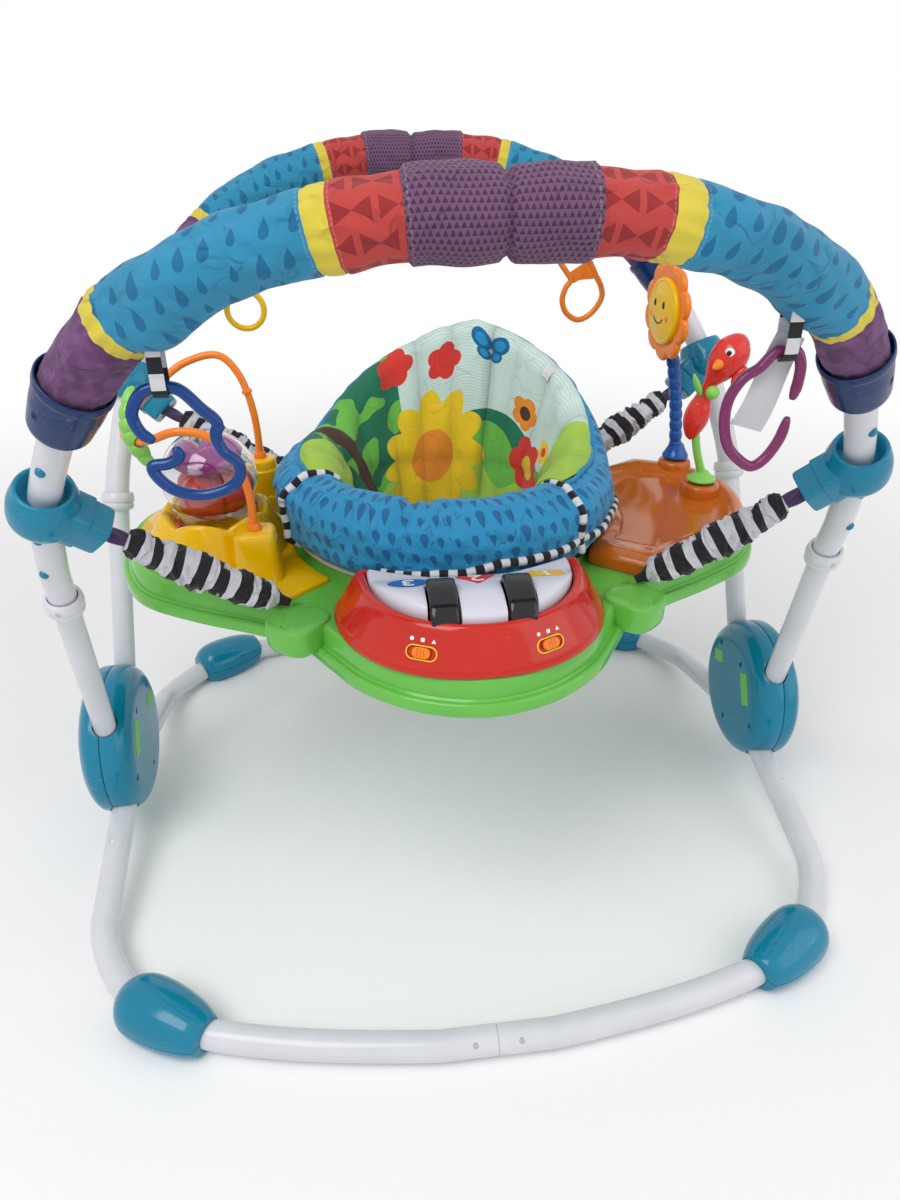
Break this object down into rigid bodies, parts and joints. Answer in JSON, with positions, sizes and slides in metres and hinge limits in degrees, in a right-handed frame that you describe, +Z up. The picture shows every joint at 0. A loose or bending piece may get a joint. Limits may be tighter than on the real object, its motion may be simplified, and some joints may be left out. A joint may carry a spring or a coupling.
{
  "type": "baby activity jumper",
  "caption": "Baby activity jumper: steel tube base and two padded arches carry a bouncing green toy tray with a turning cloth seat, piano, bead wire, globe and hanging toys.",
  "frame": {"origin": "on the floor, midway between the two side hubs", "axes": "+Z up, -Y to the front where the piano is, +X to the right as seen from the front"},
  "size_m": [0.954, 0.8628, 0.8308],
  "materials": {
    "teal_plastic": "gloss",
    "navy_plastic": "satin",
    "white_tube": "gloss",
    "spring_steel": "satin",
    "striped_cloth": "matte",
    "pad_cloth": "matte",
    "tray_green": "gloss",
    "piano_red": "gloss",
    "key_white": "gloss",
    "switch_orange": "satin",
    "toy_yellow": "gloss",
    "globe_clear": "polished",
    "spinner_red": "gloss",
    "toy_orange": "gloss",
    "slider_green": "satin",
    "dish_orange": "gloss",
    "link_blue": "gloss",
    "link_purple": "gloss",
    "seat_cloth": "matte",
    "sling_cloth": "matte",
    "ring_grey": "satin"
  },
  "bodies": {
    "frame": {"base_tube_front_left": "white_tube", "base_tube_front_right": "white_tube", "base_tube_rear_left": "white_tube", "base_tube_rear_right": "white_tube", "base_foot_front_left": "teal_plastic", "base_foot_front_right": "teal_plastic", "base_foot_rear_left": "teal_plastic", "base_foot_rear_right": "teal_plastic", "upright_front_left": "white_tube", "upright_front_right": "white_tube", "upright_rear_left": "white_tube", "upright_rear_right": "white_tube", "arch_tube_front_left": "white_tube", "arch_tube_front_right": "white_tube", "arch_tube_rear_left": "white_tube", "arch_tube_rear_right": "white_tube", "spring_housing_front_left": "teal_plastic", "spring_housing_front_right": "teal_plastic", "spring_housing_rear_left": "teal_plastic", "spring_housing_rear_right": "teal_plastic", "arch_cup_front_left": "navy_plastic", "arch_cup_front_right": "navy_plastic", "arch_cup_rear_left": "navy_plastic", "arch_cup_rear_right": "navy_plastic", "spring_sleeve_front_left": "striped_cloth", "spring_sleeve_front_right": "striped_cloth", "spring_sleeve_rear_left": "striped_cloth", "spring_sleeve_rear_right": "striped_cloth", "bounce_spring_front_left": "spring_steel", "bounce_spring_front_right": "spring_steel", "bounce_spring_rear_left": "spring_steel", "bounce_spring_rear_right": "spring_steel", "hub_left_inner_shell": "teal_plastic", "hub_left_outer_shell": "teal_plastic", "hub_right_inner_shell": "teal_plastic", "hub_right_outer_shell": "teal_plastic", "arch_pad_front": "pad_cloth", "arch_pad_rear": "pad_cloth"},
    "tray_assembly": {"tray": "tray_green", "piano_housing": "piano_red", "popper_base": "toy_yellow", "popper_globe": "globe_clear", "wire_loop": "toy_orange", "activity_dish": "dish_orange"},
    "seat": {"seat_ring": "ring_grey", "seat_pad": "seat_cloth", "seat_sling": "sling_cloth"},
    "piano_key_left": {"piano_key_left": "key_white"},
    "piano_key_middle": {"piano_key_middle": "key_white"},
    "piano_key_right": {"piano_key_right": "key_white"},
    "mode_switch": {"mode_switch": "switch_orange"},
    "volume_switch": {"volume_switch": "switch_orange"},
    "popper_spinner": {"popper_spinner": "spinner_red"},
    "loop_slider": {"loop_slider": "slider_green"},
    "sun_toy": {"sun_toy": "toy_orange"},
    "bird_toy": {"bird_toy": "spinner_red"},
    "blue_link": {"blue_link": "link_blue"},
    "purple_link": {"purple_link": "link_purple"},
    "yellow_ring": {"yellow_ring": "toy_yellow"},
    "orange_ring": {"orange_ring": "toy_orange"}
  },
  "joints": [
    {"name": "bounce", "type": "slide", "parent": "frame", "child": "tray_assembly", "axis": [0, 0, 1], "range_m": [-0.08, 0.03], "stiffness_N_per_m": 1600, "springref_m": 0.0219, "deforming": ["bounce_spring_front_left", "bounce_spring_front_right", "bounce_spring_rear_left", "bounce_spring_rear_right", "spring_sleeve_front_left", "spring_sleeve_front_right", "spring_sleeve_rear_left", "spring_sleeve_rear_right"]},
    {"name": "seat_turn", "type": "hinge", "parent": "tray_assembly", "child": "seat", "pos_m": [0, 0, 0.411], "axis": [0, 0, 1], "continuous": true},
    {"name": "left_key_press", "type": "slide", "parent": "tray_assembly", "child": "piano_key_left", "axis": [0, 0, -1], "range_m": [0, 0.003], "stiffness_N_per_m": 1500, "springref_m": -0.001},
    {"name": "middle_key_press", "type": "slide", "parent": "tray_assembly", "child": "piano_key_middle", "axis": [0, 0, -1], "range_m": [0, 0.003], "stiffness_N_per_m": 1500, "springref_m": -0.001},
    {"name": "right_key_press", "type": "slide", "parent": "tray_assembly", "child": "piano_key_right", "axis": [0, 0, -1], "range_m": [0, 0.003], "stiffness_N_per_m": 1500, "springref_m": -0.001},
    {"name": "mode_switch_slide", "type": "slide", "parent": "tray_assembly", "child": "mode_switch", "axis": [0.9027, -0.4304, 0], "range_m": [-0.0035, 0.0035]},
    {"name": "volume_switch_slide", "type": "slide", "parent": "tray_assembly", "child": "volume_switch", "axis": [0.9027, 0.4304, 0], "range_m": [-0.0035, 0.0035]},
    {"name": "spinner_turn", "type": "hinge", "parent": "tray_assembly", "child": "popper_spinner", "pos_m": [-0.27, -0.02, 0.48], "axis": [0, 0, 1], "continuous": true},
    {"name": "slider_run", "type": "hinge", "parent": "tray_assembly", "child": "loop_slider", "pos_m": [-0.27, 0, 0.6], "axis": [0.4619, 0.1313, -0.8772], "range_deg": [-25, 100]},
    {"name": "sun_sway", "type": "hinge", "parent": "tray_assembly", "child": "sun_toy", "pos_m": [0.328, 0.118, 0.444], "axis": [0, 1, 0], "range_deg": [-8, 8], "stiffness_Nm_per_rad": 2, "springref_deg": 1.15},
    {"name": "bird_sway", "type": "hinge", "parent": "tray_assembly", "child": "bird_toy", "pos_m": [0.332, 0.032, 0.444], "axis": [1, 0, 0], "range_deg": [-8, 8], "stiffness_Nm_per_rad": 1.5},
    {"name": "blue_link_swing", "type": "hinge", "parent": "frame", "child": "blue_link", "pos_m": [-0.245, -0.3185, 0.684], "axis": [1, 0, 0], "range_deg": [-45, 45]},
    {"name": "purple_link_swing", "type": "hinge", "parent": "frame", "child": "purple_link", "pos_m": [0.2265, -0.3265, 0.695], "axis": [1, 0, 0], "range_deg": [-45, 45]},
    {"name": "yellow_ring_swing", "type": "hinge", "parent": "frame", "child": "yellow_ring", "pos_m": [-0.2431, 0.32, 0.638], "axis": [1, 0, 0], "range_deg": [-60, 60]},
    {"name": "orange_ring_swing", "type": "hinge", "parent": "frame", "child": "orange_ring", "pos_m": [0.224, 0.323, 0.672], "axis": [1, 0, 0], "range_deg": [-60, 60]}
  ]
}
